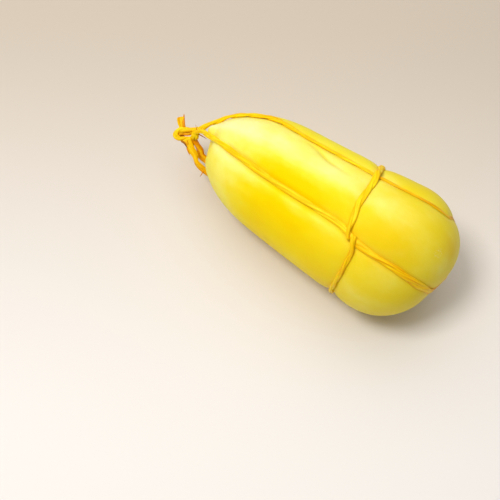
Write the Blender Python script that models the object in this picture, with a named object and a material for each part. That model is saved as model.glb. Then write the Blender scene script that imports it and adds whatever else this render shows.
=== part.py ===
"""A caciocavallo: a log of stretched-curd cheese, tied lengthwise and once round its girth with raffia.

The cheese lies along X and rests on a small flat spot at Z = 0. Its knot is at -X and its plain end,
the thicker one, at +X. Angles round it are in degrees: 0 is the front (-Y), 90 the top, 180 the back
and 270 the belly. Sizes are in metres.
"""
import math

import bmesh
import bpy
import numpy as np

# The cheese
LENGTH = 0.207
HALF = LENGTH / 2
MID_RADIUS = 0.045
TAPER = 0.14                 # share by which the radius grows from the middle to the plain end
KNOT_CAP_LENGTH = 0.072      # length over which the knot end rounds off
KNOT_CAP_POWER = 2.5
PLAIN_CAP_LENGTH = 0.048
PLAIN_CAP_POWER = 2.0
SIDE_BOW = 0.0024            # how far both ends bend towards the back
REST_DEPTH = 0.001           # how deep the belly is pressed flat by its own weight
UNEVENNESS = 0.0005          # height of the soft waves that shaping by hand leaves
WAVES = np.array(((53, 20, 8), (-15, 59, 31), (37, -12, 56)))    # radians per metre along X, Y and Z
CHEESE_RINGS = 150
CHEESE_SEGMENTS = 180
CHEESE_TRIANGLES = 7000
FLATNESS = 0.00005           # points this close to the rest plane are put on it

# Depth and half width of what the tight raffia presses into the skin: a broad dip and a narrow bite
TOP_VALLEY = (0.0013, 0.013)
TOP_FURROW = (0.0008, 0.0032)
FRONT_VALLEY = (0.0017, 0.013)
FRONT_FURROW = (0.0015, 0.0034)
GIRTH_VALLEY = (0.0010, 0.010)
GIRTH_FURROW = (0.0012, 0.0040)
BELLY_FURROW = (0.0024, 0.0050)      # the same where the cheese lies on the cord
FOLD = (0.0012, 0.0030)
END_FADE = 0.05                      # share of a strand's run over which its furrow fades at each end
END_FURROW = 0.6                     # what is left of the furrow at the very end

# Lengthwise strands: stations on the skin, each its X and its angle, and on the plain end, each its
# angle away from the tip and its angle round the cheese
TOP_STATIONS = ((-0.0925, 126), (-0.081, 122.5), (-0.068, 122.8), (-0.0555, 121.4), (-0.0457, 119),
                (-0.036, 117.1), (-0.023, 116.2), (-0.003, 115.7), (0.018, 115.1), (0.032, 114.7),
                (0.050, 114.9), (0.060, 115.3))
TOP_END_STATIONS = ((76, 117.2), (69, 119.8), (62, 124.5), (56.5, 130.5), (54.5, 143), (50, 163), (36, 195))
FRONT_STATIONS = ((-0.0915, 57), (-0.075, 58), (-0.050, 57.4), (-0.030, 57), (-0.008, 57.2), (0.010, 57.3),
                  (0.025, 57.2), (0.0335, 56), (0.0395, 53.4), (0.046, 50.9), (0.055, 50), (0.064, 49.5),
                  (0.072, 48.9))
FRONT_END_STATIONS = ((61, 48), (50, 44.8), (39, 40.4), (26, 31), (16, 5), (12, 335), (10, 305))
CROSSING_STATION = ((17, 228),)
BELLY_END_STATIONS = ((30, 290), (58, 314))
BELLY_STATIONS = ((0.045, 320), (0.0, 320), (-0.045, 318), (-0.066, 315), (-0.078, 312), (-0.088, 308))
BACK_END_STATIONS = ((34, 217), (60, 216))
BACK_STATIONS = ((0.050, 220), (0.020, 226), (-0.020, 235), (-0.055, 252), (-0.075, 272), (-0.088, 290))

# The cord round the girth: from its hitch below the front strand over the top, round the back, under the
# belly and up to its tail above the front strand
GIRTH_STATIONS = ((0.0408, 50), (0.0385, 53.5), (0.0362, 61), (0.0343, 69), (0.0323, 78), (0.0311, 90),
                  (0.0300, 103), (0.0274, 117), (0.0225, 145), (0.0195, 172), (0.0210, 200), (0.0260, 230),
                  (0.0315, 260), (0.0365, 290), (0.0405, 320), (0.0440, 350), (0.0464, 375), (0.0470, 392),
                  (0.0465, 404), (0.0454, 407.5), (0.0441, 410.5), (0.0426, 416))

# A soft fold of the curd between the top and the front strand
FOLD_STATIONS = ((-0.029, 111), (-0.021, 110), (-0.0125, 106), (-0.005, 102), (0.005, 100.5), (0.0186, 98.3))

# The raffia
# Widths and thicknesses of its strands, each with its place along the cheese: they are wider where they
# run double, and rounder towards the knot
TOP_WIDTHS = ((-0.090, 0.0046), (-0.060, 0.0050), (-0.045, 0.0046), (-0.036, 0.0036), (-0.010, 0.0034),
              (0.025, 0.0032), (0.036, 0.0021), (0.058, 0.0023), (0.075, 0.0030), (0.095, 0.0025))
FRONT_WIDTHS = ((-0.090, 0.0044), (-0.050, 0.0046), (0.000, 0.0043), (0.030, 0.0044), (0.046, 0.0052),
                (0.056, 0.0046), (0.066, 0.0040), (0.074, 0.0044), (0.080, 0.0054), (0.092, 0.0054),
                (0.1035, 0.0044))
TOP_THICKNESSES = ((-0.113, 0.0040), (-0.090, 0.0031), (-0.055, 0.0032), (-0.036, 0.0022), (0.030, 0.0020),
                   (0.040, 0.0016))
FRONT_THICKNESSES = ((-0.113, 0.0042), (-0.088, 0.0022))
GIRTH_WIDTH = 0.0050
GIRTH_TAIL_WIDTH = 0.0034
GIRTH_THICKNESS = 0.0024
GIRTH_BELLY_THICKNESS = 0.0015
CLEARANCE = 0.0004           # gap between a strand and the skin below it
CROSSING_RISE = 0.0013       # how far the front loop is raised where it crosses the top loop
GIRTH_RISE = 0.0027          # how far the girth cord is raised where it crosses a strand
CROSSING_HALF_WIDTH = 0.0052
STEP = 0.0045                # distance between the rings of points along a strand
SIDES = 8
END_SCALE = 0.55             # how far a strand's cut end is rounded in
HITCH_SHARE = 0.05           # share of the girth cord over which its hitch comes to a point
HITCH_POINT = 0.35
TAIL_SHARES = (0.5, 0.8)     # shares of the girth cord between which it thins out to its tail

# The knot, in the air just past the knot end, with the directions of its loop's long and short axes
KNOT_CENTRE = np.array((-0.1200, -0.0107, 0.0380))
KNOT_SIDE = np.array((0.77, 0.64, 0.0))
KNOT_UP = np.array((-0.56, 0.68, 0.47))
KNOT_LOOP_HALF_LENGTH = 0.0070
KNOT_LOOP_HALF_HEIGHT = 0.0030
KNOT_CORD_WIDTH = 0.0046
KNOT_CORD_THICKNESS = 0.0042
KNOT_RINGS = 20
KNOT_STEP = 0.002
KNOT_FLATTENING = 0.8

# Stations round the knot, each a distance along the loop's long axis, its short axis and out of its plane
STUB_STATIONS = ((-0.0026, 0.0026, 0), (-0.0034, 0.0070, 0), (-0.0038, 0.0135, 0))
STUB_WIDTHS = (0.0038, 0.0050)
COLLAR_STATIONS = ((0.0060, 0.0058, 0), (0.0085, 0.0020, 0), (0.0062, -0.0030, 0))
COLLAR_WIDTHS = (0.0030, 0.0036)
TOP_FREE_STATIONS = ((0.0050, 0.0020, 0.0006), (0.0148, 0.0048, 0.0050), (0.0240, 0.0078, 0.0089),
                     (0.0325, 0.0102, 0.0131))
FRONT_FREE_STATIONS = ((0.0050, 0.0002, 0.0010), (0.0130, -0.0002, 0.0110), (0.0168, -0.0034, 0.0185))
BELLY_FREE_STATIONS = ((0.0093, -0.0233, -0.0010), (0.0050, -0.0135, 0), (0.0022, -0.0040, 0.0004))
BACK_FREE_STATIONS = ((0.0125, -0.0170, -0.0090), (0.0088, -0.0088, -0.0056), (0.0044, -0.0030, -0.0020))

CHEESE_LOOK = ((0.95, 0.80, 0.16), 0.35)       # base colour and roughness
RAFFIA_LOOK = ((0.86, 0.62, 0.07), 0.55)


def clear_scene():
    for scene_object in list(bpy.data.objects):
        bpy.data.objects.remove(scene_object, do_unlink=True)


def unit(vectors):
    return vectors / np.linalg.norm(vectors, axis=-1, keepdims=True)


def full_radius(x):
    """Radius of the cheese at x before its ends round off."""
    return MID_RADIUS * (1 + TAPER * x / HALF)


def cap_square(x):
    """Square of the share of the radius that the two rounded ends leave at x."""
    knot_end = np.clip((KNOT_CAP_LENGTH - HALF - x) / KNOT_CAP_LENGTH, 0, None)
    plain_end = np.clip((x + PLAIN_CAP_LENGTH - HALF) / PLAIN_CAP_LENGTH, 0, None)
    return (1 - knot_end**KNOT_CAP_POWER) * (1 - plain_end**PLAIN_CAP_POWER)


def skin(x, angle):
    """Points of the cheese's plain skin, before anything bites into it."""
    radius = full_radius(x) * np.sqrt(np.clip(cap_square(x), 0, None))
    turn = np.radians(angle)
    y = SIDE_BOW * (x / HALF) ** 2 - radius * np.cos(turn)
    z = full_radius(x) - REST_DEPTH + radius * np.sin(turn)
    return np.stack(np.broadcast_arrays(x, y, z), axis=-1)


def on_skin(stations):
    x, angle = np.array(stations).T
    return skin(x, angle)


def on_plain_end(stations):
    tilt, angle = np.array(stations).T
    return skin(HALF - PLAIN_CAP_LENGTH + PLAIN_CAP_LENGTH * np.cos(np.radians(tilt)), angle)


def depth_field(points):
    """A field that is zero on the plain skin and negative inside the cheese."""
    x = points[..., 0]
    y = points[..., 1] - SIDE_BOW * (x / HALF) ** 2
    z = points[..., 2] - full_radius(x) + REST_DEPTH
    return (y**2 + z**2) / full_radius(x) ** 2 - cap_square(x)


def slope(points):
    """Gradient of the depth field."""
    reach = 1e-5
    steps = np.eye(3) * reach
    columns = [depth_field(points + step) - depth_field(points - step) for step in steps]
    return np.stack(columns, axis=-1) / (2 * reach)


def settle(points):
    """Move points onto the plain skin along its slope."""
    for _ in range(6):
        gradient = slope(points)
        square = np.sum(gradient**2, axis=-1)
        points = points - gradient * (depth_field(points) / square)[..., None]
    return points


def smooth_curve(stations, step):
    """A Catmull-Rom curve through the stations, read at even steps."""
    first = 2 * stations[0] - stations[1]
    last = 2 * stations[-1] - stations[-2]
    padded = np.vstack([first, stations, last])
    t = np.linspace(0, 1, 16, endpoint=False)[:, None]
    pieces = []
    for a, b, c, d in zip(padded, padded[1:], padded[2:], padded[3:]):
        bend = (2 * a - 5 * b + 4 * c - d) * t**2 + (3 * b - a - 3 * c + d) * t**3
        pieces.append(b + ((c - a) * t + bend) / 2)
    fine = np.vstack(pieces + [stations[-1:]])
    run = np.concatenate([[0], np.cumsum(np.linalg.norm(np.diff(fine, axis=0), axis=1))])
    even = np.linspace(0, run[-1], round(run[-1] / step) + 1)
    return np.stack([np.interp(even, run, fine[:, axis]) for axis in range(3)], axis=-1)


def run_over(stretches):
    """A smooth run over the skin through all the stations of its stretches."""
    return settle(smooth_curve(np.vstack(stretches), STEP))


def at_knot(stations):
    """Points by the knot, from their distances along its three directions."""
    return KNOT_CENTRE + np.array(stations) @ np.stack([KNOT_SIDE, KNOT_UP, KNOT_OUT])


# Hollows of the curd, each its middle, its depth and its half width: low on the plain end, and below the
# front strand and under the top strand at the knot end, with a swelling between the two strands there
HOLLOWS = ((on_plain_end(((20, 300),)), 0.0029, 0.026), (on_skin(((-0.0988, 32),)), 0.0062, 0.0095),
           (on_skin(((-0.1002, 64.4),)), -0.0060, 0.0062), (on_skin(((-0.084, 126),)), 0.0011, 0.014))

# Both loops cross low on the far side of the plain end
CROSSING = on_plain_end(CROSSING_STATION)
TOP_LOOP = run_over([on_skin(TOP_STATIONS), on_plain_end(TOP_END_STATIONS), CROSSING,
                     on_plain_end(BELLY_END_STATIONS), on_skin(BELLY_STATIONS)])
FRONT_LOOP = run_over([on_skin(FRONT_STATIONS), on_plain_end(FRONT_END_STATIONS), CROSSING,
                       on_plain_end(BACK_END_STATIONS), on_skin(BACK_STATIONS)])
GIRTH_RUN = run_over([on_skin(GIRTH_STATIONS)])
FOLD_RUN = run_over([on_skin(FOLD_STATIONS)])
KNOT_OUT = unit(np.cross(KNOT_SIDE, KNOT_UP))


def nearest(points, run):
    """Distance from each point to the run, and where along it, from 0 to 1, its nearest part is."""
    best = np.full(points.shape[:-1], np.inf)
    place = np.zeros(points.shape[:-1])
    for index, (start, end) in enumerate(zip(run, run[1:])):
        way = end - start
        along = np.clip(np.sum((points - start) * way, axis=-1) / np.sum(way**2), 0, 1)
        distance = np.linalg.norm(points - start - along[..., None] * way, axis=-1)
        closer = distance < best
        best = np.where(closer, distance, best)
        place = np.where(closer, (index + along) / (len(run) - 1), place)
    return best, place


def dip(distance, size):
    depth, half_width = size
    return depth * np.exp(-((distance / half_width) ** 2))


def belly_share(points):
    """1 under the cheese, fading to 0 at the height of its axis."""
    return np.clip(1 - points[..., 2] / MID_RADIUS, 0, 1) ** 2


def waves(points):
    """Soft unevenness of a cheese that is shaped by hand."""
    return UNEVENNESS * np.mean(np.sin(points @ WAVES.T), axis=-1)


def skin_dip(points):
    """How far the skin lies below its plain form: under the raffia, in the fold and in the waves."""
    dips = []
    loops = ((TOP_LOOP, TOP_VALLEY, TOP_FURROW), (FRONT_LOOP, FRONT_VALLEY, FRONT_FURROW))
    for loop, valley, furrow in loops:
        distance, place = nearest(points, loop)
        fade = np.clip(np.minimum(place, 1 - place) / END_FADE, END_FURROW, 1)
        dips.append((dip(distance, valley) + dip(distance, furrow)) * fade)
    distance, place = nearest(points, GIRTH_RUN)
    belly = belly_share(points)
    furrow = dip(distance, GIRTH_FURROW) * (1 - belly) + dip(distance, BELLY_FURROW) * belly
    dips.append(dip(distance, GIRTH_VALLEY) + furrow)
    distance, place = nearest(points, FOLD_RUN)
    dips.append(dip(distance, FOLD) * np.sin(np.pi * place))
    total = np.sum(np.array(dips) ** 4, axis=0) ** 0.25 + waves(points)
    for centre, depth, half_width in HOLLOWS:
        total += dip(np.linalg.norm(points - centre, axis=-1), (depth, half_width))
    return total


def add_object(name, points, faces, look):
    """A named object from points and faces, with its own material."""
    colour, roughness = look
    mesh = bpy.data.meshes.new(name)
    mesh.from_pydata(points.tolist(), [], faces)
    solid = bmesh.new()
    solid.from_mesh(mesh)
    bmesh.ops.recalc_face_normals(solid, faces=solid.faces)
    solid.to_mesh(mesh)
    solid.free()
    mesh.shade_smooth()
    material = bpy.data.materials.new(name)
    material.use_nodes = True
    shader = material.node_tree.nodes["Principled BSDF"]
    shader.inputs["Base Color"].default_value = (*colour, 1)
    shader.inputs["Roughness"].default_value = roughness
    mesh.materials.append(material)
    new_object = bpy.data.objects.new(name, mesh)
    bpy.context.collection.objects.link(new_object)
    return new_object


def apply_modifiers(target):
    """Replace the object's mesh by what its modifiers make of it."""
    graph = bpy.context.evaluated_depsgraph_get()
    mesh = bpy.data.meshes.new_from_object(target.evaluated_get(graph))
    target.modifiers.clear()
    target.data = mesh


def bands(ring_count, sides, closed=False):
    """Faces between rings of points, each of so many sides; closed also joins the last ring to the first."""
    faces = []
    for ring in range(ring_count if closed else ring_count - 1):
        row = ring * sides
        next_row = (ring + 1) % ring_count * sides
        for side in range(sides):
            beside = (side + 1) % sides
            faces.append((row + side, row + beside, next_row + beside, next_row + side))
    return faces


def build_cheese():
    """The whole cheese: rings on the skin, pressed in by the raffia and flat where it rests."""
    sweep = np.linspace(0, math.pi, CHEESE_RINGS + 2)[1:-1]
    x = -HALF * np.cos(sweep)
    angle = np.arange(CHEESE_SEGMENTS) * 360 / CHEESE_SEGMENTS
    rings = skin(x[:, None], angle[None, :]).reshape(-1, 3)
    tips = skin(np.array((-HALF, HALF)), np.zeros(2))
    plain = np.vstack([rings, tips])
    points = plain - unit(slope(plain)) * skin_dip(plain)[:, None]
    points[:, 2] = np.maximum(points[:, 2], 0)
    faces = bands(CHEESE_RINGS, CHEESE_SEGMENTS)
    last_row = (CHEESE_RINGS - 1) * CHEESE_SEGMENTS
    for segment in range(CHEESE_SEGMENTS):
        beside = (segment + 1) % CHEESE_SEGMENTS
        faces.append((segment, beside, len(rings)))
        faces.append((last_row + segment, last_row + beside, len(rings) + 1))
    cheese = add_object("cheese", points, faces, CHEESE_LOOK)
    thin_out(cheese, CHEESE_TRIANGLES)


def thin_out(target, triangles):
    """Drop the points that the shape doesn't need, and keep the resting spot exactly flat."""
    decimate = target.modifiers.new("thin_out", "DECIMATE")
    decimate.ratio = triangles / sum(len(face.vertices) - 2 for face in target.data.polygons)
    apply_modifiers(target)
    for vertex in target.data.vertices:
        if vertex.co.z < FLATNESS:
            vertex.co.z = 0


def cross_sections(centres, across, outward, widths, thicknesses):
    """Rings of points of a flattened cord round its middle line."""
    turn = np.arange(SIDES) * 2 * math.pi / SIDES
    sideways = across[:, None, :] * np.cos(turn)[None, :, None] * widths[:, None, None] / 2
    upwards = outward[:, None, :] * np.sin(turn)[None, :, None] * thicknesses[:, None, None] / 2
    return (centres[:, None, :] + sideways + upwards).reshape(-1, 3)


def tube(centres, normals, widths, thicknesses):
    """Points and faces of a flattened cord with its flat side to the normals and its ends closed."""
    tangents = unit(np.gradient(centres, axis=0))
    across = unit(np.cross(tangents, normals))
    outward = np.cross(across, tangents)
    rounding = np.ones(len(centres))
    rounding[[0, -1]] = END_SCALE
    points = cross_sections(centres, across, outward, widths * rounding, thicknesses * rounding)
    faces = bands(len(centres), SIDES)
    faces.append(tuple(range(SIDES)))
    faces.append(tuple(range(len(points) - SIDES, len(points))))
    return points, faces


def along_cheese(path, table):
    """Values at the points of a path, from a table of places along the cheese and values there."""
    places, values = np.array(table).T
    return np.interp(path[:, 0], places, values)


def lift(run, thicknesses):
    """Raise a run from the plain skin to the middle of a cord that lies in its furrow there."""
    normals = unit(slope(run))
    heights = CLEARANCE + thicknesses / 2 - skin_dip(run)
    return run + normals * heights[:, None]


def clear_of_skin(path, thicknesses):
    """Raise a strand's middle line wherever its free stretch would touch the cheese."""
    foot = settle(path)
    normals = unit(slope(foot))
    height = np.sum((path - foot) * normals, axis=-1)
    least = CLEARANCE + thicknesses / 2 - skin_dip(foot)
    return path + normals * np.clip(least - height, 0, None)[:, None]


def lengthwise_loop(run, first_stretch, last_stretch, width_table, thickness_table, rise):
    """A loop of raffia: in its furrow along the run, and free from there to the knot at both ends."""
    hump = dip(np.linalg.norm(run - CROSSING, axis=1), (rise, CROSSING_HALF_WIDTH))
    centres = lift(run, along_cheese(run, thickness_table)) + unit(slope(run)) * hump[:, None]
    path = smooth_curve(np.vstack([at_knot(first_stretch), centres[1:-1], at_knot(last_stretch)]), STEP)
    thicknesses = along_cheese(path, thickness_table)
    path = clear_of_skin(path, thicknesses)
    return tube(path, unit(slope(path)), along_cheese(path, width_table), thicknesses)


def knot_loop():
    """The closed loop of cord that the knot shows."""
    turn = np.arange(KNOT_RINGS) * 2 * math.pi / KNOT_RINGS
    side = KNOT_LOOP_HALF_LENGTH * np.cos(turn)
    up = KNOT_LOOP_HALF_HEIGHT * np.sin(turn)
    centres = at_knot(np.stack([side, up, np.zeros(KNOT_RINGS)], axis=1))
    outward = np.tile(KNOT_OUT, (KNOT_RINGS, 1))
    across = unit(np.cross(np.roll(centres, -1, axis=0) - np.roll(centres, 1, axis=0), outward))
    widths = np.full(KNOT_RINGS, KNOT_CORD_THICKNESS)
    points = cross_sections(centres, across, outward, widths, np.full(KNOT_RINGS, KNOT_CORD_WIDTH))
    return points, bands(KNOT_RINGS, SIDES, closed=True)


def knot_cord(stations, end_widths):
    """A short piece of cord in the knot, which widens from one end to the other."""
    path = smooth_curve(at_knot(stations), KNOT_STEP)
    widths = np.linspace(*end_widths, len(path))
    return tube(path, np.tile(KNOT_OUT, (len(path), 1)), widths, widths * KNOT_FLATTENING)


def fuse(target, others):
    """Join the others to the target as one solid."""
    for other in others:
        boolean = target.modifiers.new("fuse", "BOOLEAN")
        boolean.operation = "UNION"
        boolean.solver = "EXACT"
        boolean.use_self = True
        boolean.object = other
        apply_modifiers(target)
        bpy.data.objects.remove(other, do_unlink=True)


def build_tie():
    """The lengthwise tie: two loops that cross on the plain end, and the knot that joins their ends."""
    top_loop = lengthwise_loop(TOP_LOOP, TOP_FREE_STATIONS, BELLY_FREE_STATIONS, TOP_WIDTHS,
                               TOP_THICKNESSES, 0)
    front_loop = lengthwise_loop(FRONT_LOOP, FRONT_FREE_STATIONS, BACK_FREE_STATIONS, FRONT_WIDTHS,
                                 FRONT_THICKNESSES, CROSSING_RISE)
    tie = add_object("raffia_tie", *top_loop, RAFFIA_LOOK)
    pieces = [front_loop, knot_loop(), knot_cord(STUB_STATIONS, STUB_WIDTHS),
              knot_cord(COLLAR_STATIONS, COLLAR_WIDTHS)]
    fuse(tie, [add_object("tie_piece", *piece, RAFFIA_LOOK) for piece in pieces])


def build_girth_cord():
    """The cord round the girth, which rides over the lengthwise strands and ends in a hitch."""
    belly = belly_share(GIRTH_RUN)
    thicknesses = GIRTH_THICKNESS * (1 - belly) + GIRTH_BELLY_THICKNESS * belly
    centres = lift(GIRTH_RUN, thicknesses)
    normals = unit(slope(GIRTH_RUN))
    for loop in (TOP_LOOP, FRONT_LOOP):
        distance, _ = nearest(GIRTH_RUN, loop)
        hump = dip(distance, (GIRTH_RISE, CROSSING_HALF_WIDTH))
        centres = centres + normals * hump[:, None]
    share = np.linspace(0, 1, len(GIRTH_RUN))
    point = np.interp(share, (0, HITCH_SHARE), (HITCH_POINT, 1))
    widths = np.interp(share, TAIL_SHARES, (GIRTH_WIDTH, GIRTH_TAIL_WIDTH)) * point
    points, faces = tube(centres, normals, widths, thicknesses)
    add_object("raffia_girth", points, faces, RAFFIA_LOOK)


clear_scene()
build_cheese()
build_tie()
build_girth_cord()
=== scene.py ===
import math

import bpy
import numpy as np
from mathutils import Matrix, Vector
from mathutils.kdtree import KDTree


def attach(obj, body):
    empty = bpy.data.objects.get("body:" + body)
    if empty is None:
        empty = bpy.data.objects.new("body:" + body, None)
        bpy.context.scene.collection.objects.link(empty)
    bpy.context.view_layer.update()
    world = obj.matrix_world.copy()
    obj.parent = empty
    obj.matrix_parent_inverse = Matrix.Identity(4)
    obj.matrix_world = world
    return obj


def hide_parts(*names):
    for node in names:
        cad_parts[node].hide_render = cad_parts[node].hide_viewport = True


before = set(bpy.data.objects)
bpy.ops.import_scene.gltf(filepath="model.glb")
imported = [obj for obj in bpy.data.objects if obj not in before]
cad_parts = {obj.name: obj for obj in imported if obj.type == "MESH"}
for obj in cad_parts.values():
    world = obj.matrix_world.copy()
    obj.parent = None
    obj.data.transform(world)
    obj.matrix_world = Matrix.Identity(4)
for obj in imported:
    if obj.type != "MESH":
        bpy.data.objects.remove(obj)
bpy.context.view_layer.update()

# The cheese: a log of stretched curd, kneaded in hot water, shaped by hand, tied and salted in brine. Its
# thin waxy rind is pale where it dried; its colour also holds painted light: a painted sheen on the crest,
# and painted shade, deeper gold in the furrows of the cords and duller gold towards the plain end. All
# lengths are in metres and angles in degrees round it: 0 its front, 90 its top, 180 its back.
LENGTH = 0.207
HALF = LENGTH / 2
MID_RADIUS = 0.045
TAPER = 0.14
KNOT_CAP_LENGTH = 0.072
KNOT_CAP_POWER = 2.5
PLAIN_CAP_LENGTH = 0.048
PLAIN_CAP_POWER = 2.0
SIDE_BOW = 0.0024
REST_DEPTH = 0.001
UNEVENNESS = 0.0005
WAVES = np.array(((53, 20, 8), (-15, 59, 31), (37, -12, 56)))
TOP_VALLEY = (0.0013, 0.013)
TOP_FURROW = (0.0008, 0.0032)
FRONT_VALLEY = (0.0017, 0.013)
FRONT_FURROW = (0.0015, 0.0034)
GIRTH_VALLEY = (0.0010, 0.010)
GIRTH_FURROW = (0.0012, 0.0040)
BELLY_FURROW = (0.0024, 0.0050)
FOLD = (0.0014, 0.0023)
END_FADE = 0.05
END_FURROW = 0.6
TOP_STATIONS = ((-0.0925, 126), (-0.081, 122.5), (-0.068, 122.8), (-0.0555, 121.4), (-0.0457, 119),
                (-0.036, 117.1), (-0.023, 116.2), (-0.003, 115.7), (0.018, 115.1), (0.032, 114.7),
                (0.050, 114.9), (0.060, 115.3))
TOP_END_STATIONS = ((76, 117.2), (69, 119.8), (62, 124.5), (56.5, 130.5), (54.5, 143), (50, 163), (36, 195))
FRONT_STATIONS = ((-0.0915, 57), (-0.075, 58), (-0.050, 57.4), (-0.030, 57), (-0.008, 57.2), (0.010, 57.3),
                  (0.025, 57.2), (0.0335, 56), (0.0395, 53.4), (0.046, 50.9), (0.055, 50), (0.064, 49.5),
                  (0.072, 48.9))
FRONT_END_STATIONS = ((61, 48), (50, 44.8), (39, 40.4), (26, 31), (16, 5), (12, 335), (10, 305))
CROSSING_STATION = ((17, 228),)
BELLY_END_STATIONS = ((30, 290), (58, 314))
BELLY_STATIONS = ((0.045, 320), (0.0, 320), (-0.045, 318), (-0.066, 315), (-0.078, 312), (-0.088, 308))
BACK_END_STATIONS = ((34, 217), (60, 216))
BACK_STATIONS = ((0.050, 220), (0.020, 226), (-0.020, 235), (-0.055, 252), (-0.075, 272), (-0.088, 290))
GIRTH_STATIONS = ((0.0408, 50), (0.0385, 53.5), (0.0362, 61), (0.0343, 69), (0.0323, 78), (0.0311, 90),
                  (0.0300, 103), (0.0274, 117), (0.0225, 145), (0.0195, 172), (0.0210, 200), (0.0260, 230),
                  (0.0315, 260), (0.0365, 290), (0.0405, 320), (0.0440, 350), (0.0464, 375), (0.0470, 392),
                  (0.0465, 404), (0.0454, 407.5), (0.0441, 410.5), (0.0426, 416))
FOLD_STATIONS = ((-0.029, 111), (-0.021, 110), (-0.0125, 106), (-0.005, 102), (0.005, 100.5), (0.0186, 98.3))
BITE_POWER = 4
SETTLE_ROUNDS = 6
CURVE_STEPS = 16
STEP = 0.0009
RIND_RINGS = 250
RIND_SEGMENTS = 360


def unit(vectors):
    """Vectors of the same directions, each 1 long."""
    return vectors / np.linalg.norm(vectors, axis=-1, keepdims=True)


def full_radius(x):
    """Radius of the cheese at x before its ends round off."""
    return MID_RADIUS * (1 + TAPER * x / HALF)


def cap_square(x):
    """Square of the share of the radius that the two rounded ends leave at x."""
    knot_end = np.clip((KNOT_CAP_LENGTH - HALF - x) / KNOT_CAP_LENGTH, 0, None)
    plain_end = np.clip((x + PLAIN_CAP_LENGTH - HALF) / PLAIN_CAP_LENGTH, 0, None)
    return (1 - knot_end**KNOT_CAP_POWER) * (1 - plain_end**PLAIN_CAP_POWER)


def skin(x, angle):
    """Points of the cheese's plain skin, before anything bites into it."""
    radius = full_radius(x) * np.sqrt(np.clip(cap_square(x), 0, None))
    turn = np.radians(angle)
    y = SIDE_BOW * (x / HALF) ** 2 - radius * np.cos(turn)
    z = full_radius(x) - REST_DEPTH + radius * np.sin(turn)
    return np.stack(np.broadcast_arrays(x, y, z), axis=-1)


def on_skin(stations):
    """Points of the skin at stations: each a place along the cheese and an angle round it."""
    x, angle = np.array(stations).T
    return skin(x, angle)


def on_plain_end(stations):
    """Points of the skin on the plain end, at stations: each a tilt from its tip and an angle round it."""
    tilt, angle = np.array(stations).T
    return skin(HALF - PLAIN_CAP_LENGTH + PLAIN_CAP_LENGTH * np.cos(np.radians(tilt)), angle)


def depth_field(points):
    """A field that is zero on the plain skin and negative inside the cheese."""
    x = points[..., 0]
    y = points[..., 1] - SIDE_BOW * (x / HALF) ** 2
    z = points[..., 2] - full_radius(x) + REST_DEPTH
    return (y**2 + z**2) / full_radius(x) ** 2 - cap_square(x)


def slope(points):
    """Gradient of the depth field."""
    reach = 1e-5
    steps = np.eye(3) * reach
    columns = [depth_field(points + step) - depth_field(points - step) for step in steps]
    return np.stack(columns, axis=-1) / (2 * reach)


def settle(points):
    """Move points onto the plain skin along its slope."""
    for _ in range(SETTLE_ROUNDS):
        gradient = slope(points)
        square = np.sum(gradient**2, axis=-1)
        points = points - gradient * (depth_field(points) / square)[..., None]
    return points


def smooth_curve(stations, step):
    """A Catmull-Rom curve through the stations, read at even steps."""
    first = 2 * stations[0] - stations[1]
    last = 2 * stations[-1] - stations[-2]
    padded = np.vstack([first, stations, last])
    t = np.linspace(0, 1, CURVE_STEPS, endpoint=False)[:, None]
    pieces = []
    for a, b, c, d in zip(padded, padded[1:], padded[2:], padded[3:]):
        bend = (2 * a - 5 * b + 4 * c - d) * t**2 + (3 * b - a - 3 * c + d) * t**3
        pieces.append(b + ((c - a) * t + bend) / 2)
    fine = np.vstack(pieces + [stations[-1:]])
    run = np.concatenate([[0], np.cumsum(np.linalg.norm(np.diff(fine, axis=0), axis=1))])
    even = np.linspace(0, run[-1], round(run[-1] / step) + 1)
    return np.stack([np.interp(even, run, fine[:, axis]) for axis in range(3)], axis=-1)


def run_over(stretches):
    """A smooth run over the skin through all the stations of its stretches."""
    return settle(smooth_curve(np.vstack(stretches), STEP))


# Where hand shaping left a hollow or, with a depth below 0, a swelling: its middle, depth and half-width.
HOLLOWS = ((on_plain_end(((20, 300),)), 0.0029, 0.026), (on_skin(((-0.0988, 32),)), 0.0062, 0.0095),
           (on_skin(((-0.1002, 64.4),)), -0.0060, 0.0062), (on_skin(((-0.084, 126),)), 0.0011, 0.014))
CROSSING = on_plain_end(CROSSING_STATION)
TOP_LOOP = run_over([on_skin(TOP_STATIONS), on_plain_end(TOP_END_STATIONS), CROSSING,
                     on_plain_end(BELLY_END_STATIONS), on_skin(BELLY_STATIONS)])
FRONT_LOOP = run_over([on_skin(FRONT_STATIONS), on_plain_end(FRONT_END_STATIONS), CROSSING,
                       on_plain_end(BACK_END_STATIONS), on_skin(BACK_STATIONS)])
GIRTH_RUN = run_over([on_skin(GIRTH_STATIONS)])
FOLD_RUN = run_over([on_skin(FOLD_STATIONS)])


def nearest(points, run):
    """Distance from each point to the run, and where along it, from 0 to 1, its nearest part is."""
    tree = KDTree(len(run))
    for index, place in enumerate(run):
        tree.insert(place, index)
    tree.balance()
    found = np.array([tree.find(point)[1:] for point in points])
    return found[:, 1], found[:, 0] / (len(run) - 1)


def dip(distance, size):
    """Depth at a distance from the middle of a soft dip of some depth and half-width."""
    depth, half_width = size
    return depth * np.exp(-((distance / half_width) ** 2))


def belly_share(points):
    """1 under the cheese, fading to 0 at the height of its axis."""
    return np.clip(1 - points[..., 2] / MID_RADIUS, 0, 1) ** 2


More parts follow.
